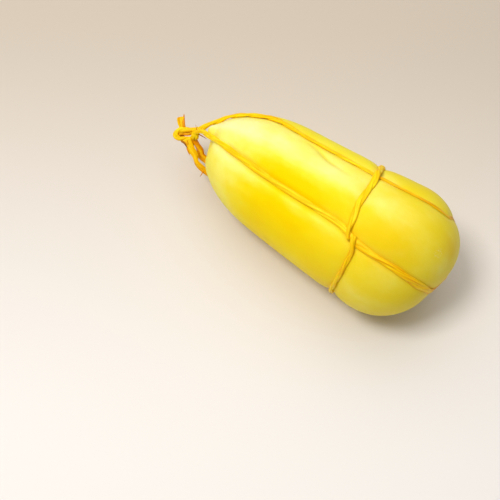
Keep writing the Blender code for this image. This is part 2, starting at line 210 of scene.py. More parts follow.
def bites(points):
    """How deep each of the cords and the fold bites into the skin."""
    dips = []
    loops = ((TOP_LOOP, TOP_VALLEY, TOP_FURROW), (FRONT_LOOP, FRONT_VALLEY, FRONT_FURROW))
    for loop, valley, furrow in loops:
        distance, place = nearest(points, loop)
        fade = np.clip(np.minimum(place, 1 - place) / END_FADE, END_FURROW, 1)
        dips.append((dip(distance, valley) + dip(distance, furrow)) * fade)
    distance, _ = nearest(points, GIRTH_RUN)
    belly = belly_share(points)
    furrow = dip(distance, GIRTH_FURROW) * (1 - belly) + dip(distance, BELLY_FURROW) * belly
    dips.append(dip(distance, GIRTH_VALLEY) + furrow)
    distance, place = nearest(points, FOLD_RUN)
    dips.append(dip(distance, FOLD) * np.sin(np.pi * place))
    return np.array(dips)


def skin_dip(points):
    """How far the skin lies below its plain form: under the raffia, and in the fold, waves and hollows.

    Where furrows meet, the deepest counts. The fold, waves and hollows add to it.
    """
    *cord_bites, fold = bites(points)
    total = np.sum(np.array(cord_bites) ** BITE_POWER, axis=0) ** (1 / BITE_POWER) + fold
    total += UNEVENNESS * np.mean(np.sin(points @ WAVES.T), axis=-1)
    for centre, depth, half_width in HOLLOWS:
        total += dip(np.linalg.norm(points - centre, axis=-1), (depth, half_width))
    return total


def bands(ring_count, sides):
    """Faces between rings of points, each of so many sides."""
    faces = []
    for ring in range(ring_count - 1):
        row = ring * sides
        next_row = row + sides
        for side in range(sides):
            beside = (side + 1) % sides
            faces.append((row + side, row + beside, next_row + beside, next_row + side))
    return faces


def make_piece(name, points, faces, material, node):
    """A smooth piece in its place on the cheese's body, which stands for one node of the solid model."""
    mesh = bpy.data.meshes.new(name)
    mesh.from_pydata(points.tolist(), [], faces)
    mesh.shade_smooth()
    mesh.materials.append(material)
    piece = bpy.data.objects.new(name, mesh)
    bpy.context.scene.collection.objects.link(piece)
    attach(piece, "root")
    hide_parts(node)
    return piece


def store(piece, name, kind, values):
    """Keep values with the piece's points, for its material to read."""
    attribute = piece.data.attributes.new(name, kind, "POINT")
    field = "value" if kind == "FLOAT" else "vector"
    attribute.data.foreach_set(field, np.asarray(values, dtype=np.float32).ravel())


class Tone:
    """One value in a material's nodes. Python's operators on it add Math nodes."""

    def __init__(self, tree, socket=None):
        self.tree = tree
        self.socket = socket

    def node(self, kind, settings, inputs, output=0):
        """Add a node, set it up, fill or link its sockets, and give one of its outputs."""
        new = self.tree.nodes.new("ShaderNode" + kind)
        for setting, value in settings.items():
            if setting == "stops":
                for _ in range(len(value) - 2):
                    new.color_ramp.elements.new(0.5)
                for element, (position, colour) in zip(new.color_ramp.elements, value):
                    element.position = position
                    element.color = colour
            else:
                setattr(new, setting, value)
        for place, value in inputs.items():
            if isinstance(value, Tone):
                self.tree.links.new(value.socket, new.inputs[place])
            else:
                new.inputs[place].default_value = value
        return Tone(self.tree, new.outputs[output])

    def maths(self, operation, first, second):
        """A Math node on two values, either of which may be a plain number."""
        return self.node("Math", {"operation": operation}, {0: first, 1: second})

    def __add__(self, other):
        return self.maths("ADD", self, other)

    __radd__ = __add__

    def __sub__(self, other):
        return self.maths("SUBTRACT", self, other)

    def __rsub__(self, other):
        return self.maths("SUBTRACT", other, self)

    def __mul__(self, other):
        return self.maths("MULTIPLY", self, other)

    __rmul__ = __mul__

    def between(self, low, high):
        """0 below the low value, 1 above the high one, and smooth between them."""
        settings = {"interpolation_type": "SMOOTHSTEP"}
        return self.node("MapRange", settings, {"Value": self, "From Min": low, "From Max": high})

    def stretched(self, factors):
        """This place with each of its three directions multiplied."""
        return self.node("VectorMath", {"operation": "MULTIPLY"}, {0: self, 1: factors})

    def away_from(self, spot):
        """How far this place is from a spot."""
        return self.node("VectorMath", {"operation": "DISTANCE"}, {0: self, 1: spot}, "Value")

    def grain(self, scale, detail):
        """Noise over this place, around 0.5."""
        return self.node("TexNoise", {}, {"Vector": self, "Scale": scale, "Detail": detail})

    def blend(self, first, second):
        """A colour mix with this value as its factor; colours are red, green and blue."""
        inputs = {0: self}
        for place, colour in ((6, first), (7, second)):
            inputs[place] = colour if isinstance(colour, Tone) else (*colour, 1)
        return self.node("Mix", {"data_type": "RGBA"}, inputs, 2)


def new_finish(name, fixed):
    """A material with its fixed values set, and a Tone to build the rest of it from."""
    material = bpy.data.materials.new(name)
    material.use_nodes = True
    shader = material.node_tree.nodes["Principled BSDF"]
    for place, value in fixed.items():
        shader.inputs[place].default_value = value
    return material, Tone(material.node_tree)


def feed(material, **tones):
    """Link tones to the shader's sockets; underscores in their names stand for spaces."""
    shader = material.node_tree.nodes["Principled BSDF"]
    for place, tone in tones.items():
        material.node_tree.links.new(tone.socket, shader.inputs[place.replace("_", " ")])


GOLDEN = (0.93, 0.65, 0.0)
YELLOW = (0.94, 0.74, 0.003)
LEMON = (0.95, 0.85, 0.055)
FURROW_SHADE_GOLD = (0.92, 0.56, 0.0)
SHADED_DULL_GOLD = (0.74, 0.60, 0.035)
SHADE_OCHRE = (0.78, 0.52, 0.0)
DRY_AND_SHEEN_WHITE = (0.97, 0.94, 0.44)
SALT_WHITE = (0.93, 0.89, 0.62)
# How far the rind turns from golden to pale yellow, and how pale it is, at angles round the cheese, for the
# long middle of it. Both carry painted light: the pallor is partly dried rind and partly a painted sheen on
# the crest and a painted highlight just below the front strand; the yellow is paler on the lit top and
# deeper gold in painted shade just above the front strand and underneath.
LEMON_AND_LIGHT_TURNS = ((0, 0.2), (30, 0.15), (43, 0.15), (50, 0.6), (56, 0.0), (66, -0.1), (72, 0.0), (84, 0.75),
               (100, 0.75), (110, 0.7), (125, 0.75), (150, 0.7), (200, 0.5), (270, 0.25), (360, 0.2))
DRY_AND_SHEEN_TURNS = ((0, 0.0), (40, 0.0), (50, 0.2), (58, 0.0), (70, -0.05), (78, 0.1), (88, 0.48), (96, 0.48),
             (112, 0.25), (126, 0.05), (138, -0.25), (160, -0.25), (190, 0.0), (360, 0.0))
PLAIN_END_REACH = (0.005, 0.085)
PLAIN_END_LEMON = 0.4
PLAIN_END_DRY_AND_SHEEN = 0.14
SHADED_END_REACH = (-0.005, 0.085)
SHADED_END_SHARE = 0.6
OCHRE_SHADE_PATCHES = (((0.064, 61), 0.028), ((0.095, 106), 0.014))
OCHRE_RAGGEDNESS = 0.012
OCHRE_CORE = 0.15
OCHRE_SHARE = 0.55
KNOT_END_REACH = (-0.030, -0.072)
KNOT_END_LEMON = 0.8
KNOT_END_DRY_AND_SHEEN_TURNS = ((0, 0.32), (112, 0.32), (136, -0.05), (270, 0.05), (360, 0.32))
CLOUD_SCALE = 38.0
CLOUD_STRENGTH = 0.9
MOTTLE_SCALE = 110.0
MOTTLE_STRENGTH = 0.35
MOTTLE_RELIEF = 1.2
DRY_AND_SHEEN_RAGGEDNESS = 0.7
DRY_AND_SHEEN_RANGE = (0.0, 1.1)
MARK_RANGE = (0.4, 1.0)
PRESSED_SHADE_SHARE = 0.55
FOLD_SHADE_SHARE = 0.6
SALT_PLACE = (0.0917, -0.0017, 0.0840)
SALT_REACH = (0.001, 0.005)
SALT_SCALE = 1000.0
SALT_RANGE = (0.55, 0.68)
SALT_SHARE = 0.7
PORE_SCALE = 900.0
PORE_RELIEF = 0.4
STRETCH_LINE_SCALE = 420.0
STRETCH_LINE_RELIEF = 0.6
RIND_ROUGHNESS = 0.42
RIND_ROUGHNESS_SPREAD = 0.16

rind, tone = new_finish("cheese_rind", {
    "Subsurface Weight": 0.3,
    "Subsurface Radius": (1.0, 0.55, 0.05),
    "Subsurface Scale": 0.005,
    "Specular IOR Level": 0.14,
    "Specular Tint": (1.0, 0.85, 0.1, 1.0),
    "IOR": 1.44,
})
place = tone.node("TexCoord", {}, {}, "Object")
pressed = tone.node("Attribute", {"attribute_name": "pressed"}, {}, "Fac")
folded = tone.node("Attribute", {"attribute_name": "folded"}, {}, "Fac")
lemon = tone.node("Attribute", {"attribute_name": "lemon"}, {}, "Fac")
dryness = tone.node("Attribute", {"attribute_name": "dryness"}, {}, "Fac")
clouds = place.stretched((0.7, 1.0, 1.0)).grain(CLOUD_SCALE, 3.0)
mottle = place.stretched((0.6, 1.0, 1.0)).grain(MOTTLE_SCALE, 3.0)
uneven = (clouds - 0.5) * CLOUD_STRENGTH + (mottle - 0.5) * MOTTLE_STRENGTH
stops = [(share, (*shade, 1)) for share, shade in ((0.0, GOLDEN), (0.5, YELLOW), (1.0, LEMON))]
# Golden to pale yellow, partly painted light: paler on the lit top, at the knot end and just below the front
# strand; deeper gold in painted shade above that strand, underneath and towards the plain end.
colour = tone.node("ValToRGB", {"stops": stops}, {"Fac": lemon + uneven})
along = place.node("SeparateXYZ", {}, {0: place})
# Painted shade: the rind turns duller gold towards the plain end, where less light falls.
colour = (along.between(*SHADED_END_REACH) * SHADED_END_SHARE).blend(colour, SHADED_DULL_GOLD)
# Painted shade: darker ochre patches on the side right of the girth and on the plain end's top.
for station, reach in OCHRE_SHADE_PATCHES:
    away = place.away_from(on_skin((station,))[0])
    ochre_shade = 1 - (away + uneven * OCHRE_RAGGEDNESS).between(reach * OCHRE_CORE, reach)
    colour = (ochre_shade * OCHRE_SHARE).blend(colour, SHADE_OCHRE)
# Paler rind: partly dried, partly a painted sheen on the crest and painted highlights below the front strand
# and at the knot end.
colour = (dryness + uneven * DRY_AND_SHEEN_RAGGEDNESS).between(*DRY_AND_SHEEN_RANGE).blend(colour, DRY_AND_SHEEN_WHITE)
# Painted shade: deeper gold in the furrows that the front loop and the girth cord bite into the rind.
colour = (pressed.between(*MARK_RANGE) * PRESSED_SHADE_SHARE).blend(colour, FURROW_SHADE_GOLD)
# Painted shade: duller gold along the crease of the fold.
colour = (folded.between(*MARK_RANGE) * FOLD_SHADE_SHARE).blend(colour, SHADED_DULL_GOLD)
specks = place.grain(SALT_SCALE, 2.0).between(*SALT_RANGE)
salted = 1 - place.away_from(SALT_PLACE).between(*SALT_REACH)
colour = (specks * salted * SALT_SHARE).blend(colour, SALT_WHITE)
feed(rind, Base_Color=colour, Roughness=RIND_ROUGHNESS + (mottle - 0.5) * RIND_ROUGHNESS_SPREAD)
pores = place.grain(PORE_SCALE, 2.0)
stretch_lines = place.stretched((0.18, 1.0, 1.0)).grain(STRETCH_LINE_SCALE, 2.0)
relief = pores * PORE_RELIEF + stretch_lines * STRETCH_LINE_RELIEF + mottle * MOTTLE_RELIEF
bump = tone.node("Bump", {}, {"Strength": 0.35, "Distance": 0.00025, "Height": relief}, "Normal")
feed(rind, Normal=bump)

sweep = np.linspace(0, math.pi, RIND_RINGS + 2)[1:-1]
x = -HALF * np.cos(sweep)
angle = np.arange(RIND_SEGMENTS) * 360 / RIND_SEGMENTS
tips = skin(np.array((-HALF, HALF)), np.zeros(2))
plain_skin = np.vstack([skin(x[:, None], angle[None, :]).reshape(-1, 3), tips])
outward = unit(slope(plain_skin))
dips = skin_dip(plain_skin)
points = plain_skin - outward * dips[:, None]
points[:, 2] = np.maximum(points[:, 2], 0)  # the small flat that its weight presses
faces = bands(RIND_RINGS, RIND_SEGMENTS)
first_tip = RIND_RINGS * RIND_SEGMENTS
last_ring = first_tip - RIND_SEGMENTS
for segment in range(RIND_SEGMENTS):
    beside = (segment + 1) % RIND_SEGMENTS
    faces.append((beside, segment, first_tip))
    faces.append((last_ring + segment, last_ring + beside, first_tip + 1))
cheese = make_piece("cheese_body", points, [face[::-1] for face in faces], rind, "cheese")
_, front_bite, girth_bite, fold = bites(plain_skin)
# How deep the front loop and the girth cord bite here, for the painted shade in their furrows.
store(cheese, "pressed", "FLOAT", np.maximum(front_bite, girth_bite) / (FRONT_VALLEY[0] + FRONT_FURROW[0]))
# The fold's depth here, for the painted shade along its crease.
store(cheese, "folded", "FLOAT", fold / FOLD[0])
# Partly painted light: pale yellow where light falls, deeper gold where shade falls.
turns, lemon_and_light_shares = np.array(LEMON_AND_LIGHT_TURNS).T
knot_end = np.interp(-plain_skin[:, 0], [-reach for reach in KNOT_END_REACH], (0, 1))
plain_end = np.interp(plain_skin[:, 0], PLAIN_END_REACH, (0, 1))
height = plain_skin[:, 2] - full_radius(plain_skin[:, 0]) + REST_DEPTH
around = np.degrees(np.arctan2(height, -plain_skin[:, 1])) % 360
lemon_and_light_shares = np.interp(around, turns, lemon_and_light_shares) * (1 - knot_end - plain_end)
store(cheese, "lemon", "FLOAT", lemon_and_light_shares + KNOT_END_LEMON * knot_end + PLAIN_END_LEMON * plain_end)
# Partly dried rind, partly painted sheen and highlights.
dry_and_sheen_shares = PLAIN_END_DRY_AND_SHEEN * plain_end
for table, part in ((DRY_AND_SHEEN_TURNS, 1 - plain_end), (KNOT_END_DRY_AND_SHEEN_TURNS, knot_end)):
    turns, values = np.array(table).T
    dry_and_sheen_shares += np.interp(around, turns, values) * part
store(cheese, "dryness", "FLOAT", dry_and_sheen_shares)

# The lengthwise tie: one length of raffia, a dyed leaf fibre, laid double and twisted. It makes two loops
# over the cheese that cross low on the plain end, and all four strands gather in the knot. The tables give
# the strands' widths, thicknesses and tints at places along the cheese.
TOP_WIDTHS = ((-0.090, 0.0046), (-0.060, 0.0050), (-0.045, 0.0046), (-0.036, 0.0036), (-0.010, 0.0034),
              (0.025, 0.0032), (0.036, 0.0021), (0.058, 0.0023), (0.075, 0.0030), (0.095, 0.0025))
FRONT_WIDTHS = ((-0.090, 0.0044), (-0.050, 0.0046), (0.000, 0.0043), (0.030, 0.0044), (0.046, 0.0052),
                (0.056, 0.0046), (0.066, 0.0040), (0.074, 0.0044), (0.080, 0.0054), (0.092, 0.0054),
                (0.1035, 0.0044))
TOP_THICKNESSES = ((-0.113, 0.0040), (-0.090, 0.0031), (-0.055, 0.0032), (-0.036, 0.0022), (0.030, 0.0020),
                   (0.040, 0.0016), (0.072, 0.0012), (0.080, 0.0004))
FRONT_THICKNESSES = ((-0.113, 0.0042), (-0.088, 0.0022))
# Tints above 0 paint the loops deeper orange towards the plain end, as painted shade.
LOOP_TINTS = ((0.020, 0.0), (0.050, 0.30), (0.090, 0.45))
CLEARANCE = 0.0001
CROSSING_HALF_WIDTH = 0.0052
SIDES = 28
PHASES = (0, 6)
SWELL = 0.045
LONG_SWELL = 0.011
SHORT_SWELL = 0.0031
CREASE_TURNS = (0.6, 1.5, 2.4, 4.1, 5.2)
CREASE_HALF_TURN = 0.20
CREASE_SHIFT = 0.3
CREASE_WANDER = 0.35
CREASE_WANDER_LENGTHS = (0.008, 0.03)
CREASE_STRENGTHS = (0.4, 1.0)
CREASE_DEPTH = 0.16
FIBRE_SHIFT = 9
PLY_WIDTH = 0.60
PLY_WIDENING = 0.16
PLY_THICKNESS = 0.72
PLY_SPREAD = 0.2
PLY_LIFT = 0.17
PLY_LEAN = 0.35
PLY_TINT_SPREAD = 0.3
PLY_ENDS = (0.3, 0.3)
TWIST_WANDER = 0.9
TWIST_WANDER_LENGTH = 0.027
# The knot's place and its own three directions, which its stations are given along.
KNOT_CENTRE = np.array((-0.1200, -0.0107, 0.0380))
KNOT_SIDE = np.array((0.77, 0.64, 0.0))
KNOT_UP = np.array((-0.56, 0.68, 0.47))
KNOT_OUT = unit(np.cross(KNOT_SIDE, KNOT_UP))
TOP_FREE_STATIONS = ((0.0050, 0.0020, 0.0006), (0.0101, 0.0026, 0.0028), (0.0148, 0.0048, 0.0050),
                     (0.0187, 0.0066, 0.0067), (0.0240, 0.0078, 0.0089), (0.0325, 0.0102, 0.0131))
FRONT_FREE_STATIONS = ((0.0050, 0.0004, 0.0010), (0.0098, 0.0010, 0.0060), (0.0130, 0.0004, 0.0110),
                       (0.0168, -0.0030, 0.0185))
BELLY_FREE_STATIONS = ((0.0093, -0.0233, -0.0010), (0.0070, -0.0165, -0.0004), (0.0040, -0.0108, 0.0002),
                       (0.0022, -0.0040, 0.0004))
BACK_FREE_STATIONS = ((0.0125, -0.0170, -0.0090), (0.0104, -0.0114, -0.0068), (0.0076, -0.0066, -0.0044),
                      (0.0044, -0.0030, -0.0020))
# Width, thickness and tint of each loop at its first and last end, and how far from there they reach.
TOP_END_LOOKS = ((0.0060, 0.0042, 0.0), (0.0058, 0.0054, 0.35))
# The front loop's last end, the back strand running under the others to the knot, is tinted deep orange as
# painted shade.
FRONT_END_LOOKS = ((0.0052, 0.0042, 0.0), (0.0066, 0.0060, 1.35))
END_REACHES = (0.022, 0.044)
END_REACH_POWER = 0.7
LOOP_TRIM = 4
LOOP_STRIDE = 5
RAFFIA_YELLOW = (0.95, 0.57, 0.001)
RAFFIA_LIGHT = (0.98, 0.76, 0.010)
RAFFIA_STREAK_AND_SHADE_ORANGE = (0.76, 0.28, 0.0)
RAFFIA_BROWN = (0.20, 0.07, 0.012)
STRAND_STRETCH = (26.0, 1.5, 1.5)
THREAD_STRETCH = (45.0, 7.0, 7.0)
THREAD_STRENGTH = 0.5
THREAD_RELIEF = 0.6
PATCH_SCALE = 55.0
PATCH_STRENGTH = 0.6
PALE_RANGE = (-0.02, 0.20)
PALE_TINT = 0.25
ORANGE_RANGE = (0.25, 1.05)
ORANGE_CREASE = 0.55
ORANGE_STREAK = 1.6
ORANGE_TINT = 0.9
BROWN_RANGE = (1.4, 2.4)
RAFFIA_ROUGHNESS = 0.46
RAFFIA_ROUGHNESS_SPREAD = 0.3


def at_knot(stations):
    """Points by the knot, from their distances along its three directions."""
    return KNOT_CENTRE + np.array(stations) @ np.stack([KNOT_SIDE, KNOT_UP, KNOT_OUT])


def along_cheese(path, table):
    """Values at the points of a path, from a table of places along the cheese and values there."""
    places, values = np.array(table).T
    return np.interp(path[:, 0], places, values)


def lift(run, thicknesses):
    """Raise a run from the plain skin to the middle of a cord that lies in its furrow there."""
    heights = CLEARANCE + thicknesses / 2 - skin_dip(run)
    return run + unit(slope(run)) * heights[:, None]


def clear_of_skin(path, thicknesses):
    """Raise a strand's middle line wherever its free stretch would touch the cheese."""
    foot = settle(path)
    normals = unit(slope(foot))
    height = np.sum((path - foot) * normals, axis=-1)
    least = CLEARANCE + thicknesses / 2 - skin_dip(foot)
    return path + normals * np.clip(least - height, 0, None)[:, None]


def run_lengths(path):
    """How far along a path each of its points is."""
    return np.concatenate([[0], np.cumsum(np.linalg.norm(np.diff(path, axis=0), axis=1))])


def ply(path, normals, widths, thicknesses, lean, tints, rng, ends=PLY_ENDS):
    """One folded ribbon of raffia along a path: points, faces and what its material reads from them."""
    run = run_lengths(path)
    tangents = unit(np.gradient(path, axis=0))
    across = unit(np.cross(tangents, normals))
    upright = np.cross(across, tangents)
    flat = across * np.cos(lean)[:, None] + upright * np.sin(lean)[:, None]
    thick = upright * np.cos(lean)[:, None] - across * np.sin(lean)[:, None]
    long_wave = np.sin(run / LONG_SWELL + rng.uniform(*PHASES))
    short_wave = np.sin(run / SHORT_SWELL + rng.uniform(*PHASES))
    swell = 1 + SWELL * long_wave * short_wave
    swell[0] *= ends[0]
    swell[-1] *= ends[1]
    turn = np.arange(SIDES) * 2 * math.pi / SIDES
    folds = np.zeros((len(path), SIDES))
    for start in CREASE_TURNS:
        shift = rng.uniform(-CREASE_SHIFT, CREASE_SHIFT)
        wave = np.sin(run / rng.uniform(*CREASE_WANDER_LENGTHS) + rng.uniform(*PHASES))
        centre = start + shift + CREASE_WANDER * wave
        away = (turn[None, :] - centre[:, None] + math.pi) % (2 * math.pi) - math.pi
        folds += rng.uniform(*CREASE_STRENGTHS) * np.exp(-((away / CREASE_HALF_TURN) ** 2))
    reach = ((1 - CREASE_DEPTH * folds) * swell[:, None])[..., None] / 2
    points = path[:, None, :] + reach * (
        flat[:, None, :] * (np.cos(turn)[None, :] * widths[:, None])[..., None]
        + thick[:, None, :] * (np.sin(turn)[None, :] * thicknesses[:, None])[..., None])
    faces = bands(len(path), SIDES)
    faces.append(tuple(range(SIDES))[::-1])
    faces.append(tuple(range((len(path) - 1) * SIDES, len(path) * SIDES)))
    around = (np.cos(turn)[None, :], np.sin(turn)[None, :])
    fibre = np.stack(np.broadcast_arrays(run[:, None] + rng.uniform(0, FIBRE_SHIFT), *around), axis=-1)
    shades = np.broadcast_to(tints[:, None], folds.shape)
    return points.reshape(-1, 3), faces, fibre.reshape(-1, 3), folds.ravel(), shades.ravel()


def twisted(path, normals, widths, thicknesses, pitch, rng, tints=None, ends=PLY_ENDS):
    """Two plies laid round each other along a path, side by side at its ends."""
    run = run_lengths(path)
    if tints is None:
        tints = np.zeros(len(path))
    tangents = unit(np.gradient(path, axis=0))
    across = unit(np.cross(tangents, normals))
    upright = np.cross(across, tangents)
    share = run / run[-1]
    wave = np.sin(run / TWIST_WANDER_LENGTH + rng.uniform(*PHASES))
    wander = TWIST_WANDER * np.sin(math.pi * share) * wave
    plies = []
    for half_turn in (0, math.pi):
        turn = half_turn + 2 * math.pi * round(run[-1] / pitch) * share + wander
        sideways = across * (widths * PLY_SPREAD * np.cos(turn))[:, None]
        upwards = upright * (thicknesses * PLY_LIFT * np.sin(turn))[:, None]
        ply_widths = widths * (PLY_WIDTH + PLY_WIDENING * np.sin(turn) ** 2)
        ply_thicknesses = thicknesses * PLY_THICKNESS
        lean = -PLY_LEAN * np.sin(2 * turn) * thicknesses / widths
        centres = path + sideways + upwards
        shades = tints + rng.uniform(-PLY_TINT_SPREAD, PLY_TINT_SPREAD)
        plies.append(ply(centres, normals, ply_widths, ply_thicknesses, lean, shades, rng, ends))
    return plies


def lengthwise_loop(run, first_stretch, last_stretch, width_table, thickness_table, rise, end_looks):
    """Middle line, normals, widths, thicknesses and tints of a loop: in its furrow, and free to the knot."""
    hump = dip(np.linalg.norm(run - CROSSING, axis=1), (rise, CROSSING_HALF_WIDTH))
    centres = lift(run, along_cheese(run, thickness_table)) + unit(slope(run)) * hump[:, None]
    held = centres[LOOP_TRIM:-LOOP_TRIM:LOOP_STRIDE]
    path = smooth_curve(np.vstack([at_knot(first_stretch), held, at_knot(last_stretch)]), STEP)
    thicknesses = along_cheese(path, thickness_table)
    path = clear_of_skin(path, thicknesses)
    lengths = run_lengths(path)
    widths = along_cheese(path, width_table)
    tints = along_cheese(path, LOOP_TINTS)
    for away, reach, look in zip((lengths, lengths[-1] - lengths), END_REACHES, end_looks):
        end_width, end_thickness, end_tint = look
        near = np.interp(away, (0, reach), (1, 0)) ** END_REACH_POWER
        widths = widths * (1 - near) + end_width * near
        thicknesses = thicknesses * (1 - near) + end_thickness * near
        tints = tints + near * end_tint
    return path, unit(slope(path)), widths, thicknesses, tints


def raffia_piece(name, plies, node):
    """Plies joined into one piece of raffia."""
    points = []
    faces = []
    count = 0
    for ply_points, ply_faces, *_ in plies:
        points.append(ply_points)
        faces += [tuple(index + count for index in face) for face in ply_faces]
        count += len(ply_points)
    piece = make_piece(name, np.vstack(points), faces, raffia, node)
    store(piece, "fibre", "FLOAT_VECTOR", np.vstack([item[2] for item in plies]))
    store(piece, "crease", "FLOAT", np.concatenate([item[3] for item in plies]))
    store(piece, "tint", "FLOAT", np.concatenate([item[4] for item in plies]))


raffia, tone = new_finish("dyed_raffia", {
    "Subsurface Weight": 0.2,
    "Subsurface Radius": (1.0, 0.5, 0.1),
    "Subsurface Scale": 0.0015,
    "Specular IOR Level": 0.3,
    "Specular Tint": (1.0, 0.9, 0.4, 1.0),
    "IOR": 1.45,
})
fibre = tone.node("Attribute", {"attribute_name": "fibre"}, {}, "Vector")
crease = tone.node("Attribute", {"attribute_name": "crease"}, {}, "Fac")
tint = tone.node("Attribute", {"attribute_name": "tint"}, {}, "Fac")
place = tone.node("TexCoord", {}, {}, "Object")
strands = fibre.stretched(STRAND_STRETCH).grain(1.0, 2.0)
threads = fibre.stretched(THREAD_STRETCH).grain(1.0, 2.0)
patches = place.grain(PATCH_SCALE, 2.0)
streaks = (strands - 0.5) + (threads - 0.5) * THREAD_STRENGTH + (patches - 0.5) * PATCH_STRENGTH
colour = (streaks - tint * PALE_TINT).between(*PALE_RANGE).blend(RAFFIA_YELLOW, RAFFIA_LIGHT)
# Painted shade mixed with random streaks: deep orange in the ribbons' creases and on tinted stretches that
# lie in shade.
shaded = crease * ORANGE_CREASE - streaks * ORANGE_STREAK + tint * ORANGE_TINT
colour = shaded.between(*ORANGE_RANGE).blend(colour, RAFFIA_STREAK_AND_SHADE_ORANGE)
colour = tint.between(*BROWN_RANGE).blend(colour, RAFFIA_BROWN)
feed(raffia, Base_Color=colour, Roughness=RAFFIA_ROUGHNESS + (threads - 0.5) * RAFFIA_ROUGHNESS_SPREAD)
relief = strands + threads * THREAD_RELIEF
bump = tone.node("Bump", {}, {"Strength": 0.5, "Distance": 0.00015, "Height": relief}, "Normal")
feed(raffia, Normal=bump)

rng = np.random.default_rng(7)
OVER_THE_OTHER = 0.0013
TOP_PITCH = 0.032
FRONT_PITCH = 0.060

*top_loop, tints = lengthwise_loop(TOP_LOOP, TOP_FREE_STATIONS, BELLY_FREE_STATIONS, TOP_WIDTHS,
                                   TOP_THICKNESSES, 0, TOP_END_LOOKS)
raffia_piece("raffia_top_loop", twisted(*top_loop, TOP_PITCH, rng, tints), "raffia_tie")
*front_loop, tints = lengthwise_loop(FRONT_LOOP, FRONT_FREE_STATIONS, BACK_FREE_STATIONS, FRONT_WIDTHS,
                                     FRONT_THICKNESSES, OVER_THE_OTHER, FRONT_END_LOOKS)
raffia_piece("raffia_front_loop", twisted(*front_loop, FRONT_PITCH, rng, tints), "raffia_tie")

# The knot, tied in the air just past the knot end: the raffia's bight stands out as a loop, one cut end
# stands up as a stub and the other hangs as a tail, and a turn of raffia round the four strands holds
# it all.
BIGHT_STATIONS = ((0.0077, -0.0027, 0.0004), (0.0031, -0.0035, 0), (-0.0015, -0.0038, 0),
                  (-0.0055, -0.0033, 0), (-0.0080, -0.0011, 0), (-0.0072, 0.0018, 0),
                  (-0.0042, 0.0032, 0.0004), (0.0001, 0.0033, 0.0008), (0.0046, 0.0029, 0.0008),
                  (0.0085, 0.0026, 0.0008))
BIGHT_WIDTHS = (0.0038, 0.0046)
BIGHT_FLATNESS = 0.7
INNER_STATIONS = ((-0.0064, 0.0004, -0.0012), (-0.0028, 0.0010, -0.0006), (0.0020, 0.0010, -0.0008),
                  (0.0076, 0.0014, -0.0010))
INNER_WIDTHS = (0.0038, 0.0050)
# The inner piece lies behind the bight and is tinted orange as painted shade.
INNER_TINTS = (0.5, 0.7)
TAIL_STATIONS = ((-0.0026, -0.0044, 0.0002), (0.0002, -0.0068, 0.0006), (0.0024, -0.0106, 0.0006),
                 (0.0040, -0.0152, 0.0002))
TAIL_WIDTHS = (0.0042, 0.0026)
TAIL_TINTS = (0.4, 1.0)
STUB_STATIONS = ((-0.0026, 0.0026, 0), (-0.0031, 0.0062, 0.0002), (-0.0041, 0.0094, 0.0002),
                 (-0.0044, 0.0130, 0))
STUB_WIDTHS = (0.0042, 0.0062)
STUB_TINTS = (-0.2, 0.5)
STUB_LEANS = (0.1, 0.5)
STUB_ENDS = (0.6, 0.8)
WRAP_STATIONS = ((0.0092, 0.0030, -0.0026), (0.0108, 0.0026, 0.0012), (0.0098, 0.0012, 0.0038),
                 (0.0078, -0.0004, 0.0042), (0.0056, -0.0022, 0.0034), (0.0044, -0.0040, -0.0002),
                 (0.0066, -0.0020, -0.0034), (0.0086, 0.0020, -0.0034), (0.0094, 0.0046, -0.0004),
                 (0.0094, 0.0034, 0.0026), (0.0090, 0.0004, 0.0036), (0.0084, -0.0028, 0.0026),
                 (0.0082, -0.0040, 0.0))
WRAP_WIDTH = 0.0032
WRAP_FLATNESS = 0.5
# Below 0 the wrap is paler: a painted highlight on the turn that lies on top of the knot.
WRAP_HIGHLIGHT_TINT = -0.3
WRAP_AXIS = ((0.0070, 0.0, 0.0),)
KNOT_FLATNESS = 0.4
KNOT_PITCH = 0.024
KNOT_STEP = 0.0006
KNOT_ENDS = (0.5, 0.5)


def knot_plies(stations, end_widths, flatness, end_tints):
    """A twisted piece of cord in the knot, through stations given along the knot's directions."""
    path = smooth_curve(at_knot(stations), KNOT_STEP)
    widths = np.linspace(*end_widths, len(path))
    tints = np.linspace(*end_tints, len(path))
    normals = np.tile(KNOT_OUT, (len(path), 1))
    return twisted(path, normals, widths, widths * flatness, KNOT_PITCH, rng, tints, KNOT_ENDS)


wrap = smooth_curve(at_knot(WRAP_STATIONS), KNOT_STEP)
wrap_normals = unit(wrap - at_knot(WRAP_AXIS))
wrap_widths = np.full(len(wrap), WRAP_WIDTH)
knot = knot_plies(BIGHT_STATIONS, BIGHT_WIDTHS, BIGHT_FLATNESS, (0, 0))
knot += knot_plies(INNER_STATIONS, INNER_WIDTHS, KNOT_FLATNESS, INNER_TINTS)
knot += knot_plies(TAIL_STATIONS, TAIL_WIDTHS, KNOT_FLATNESS, TAIL_TINTS)
stub = smooth_curve(at_knot(STUB_STATIONS), KNOT_STEP)
stub_widths = np.linspace(*STUB_WIDTHS, len(stub))
stub_normals = np.tile(KNOT_OUT, (len(stub), 1))
stub_leans = np.linspace(*STUB_LEANS, len(stub))
stub_tints = np.linspace(*STUB_TINTS, len(stub))
knot.append(ply(stub, stub_normals, stub_widths, stub_widths * KNOT_FLATNESS, stub_leans, stub_tints, rng,
                STUB_ENDS))
knot.append(ply(wrap, wrap_normals, wrap_widths, wrap_widths * WRAP_FLATNESS, np.zeros(len(wrap)),
                np.full(len(wrap), WRAP_HIGHLIGHT_TINT), rng))
raffia_piece("raffia_knot", knot, "raffia_tie")

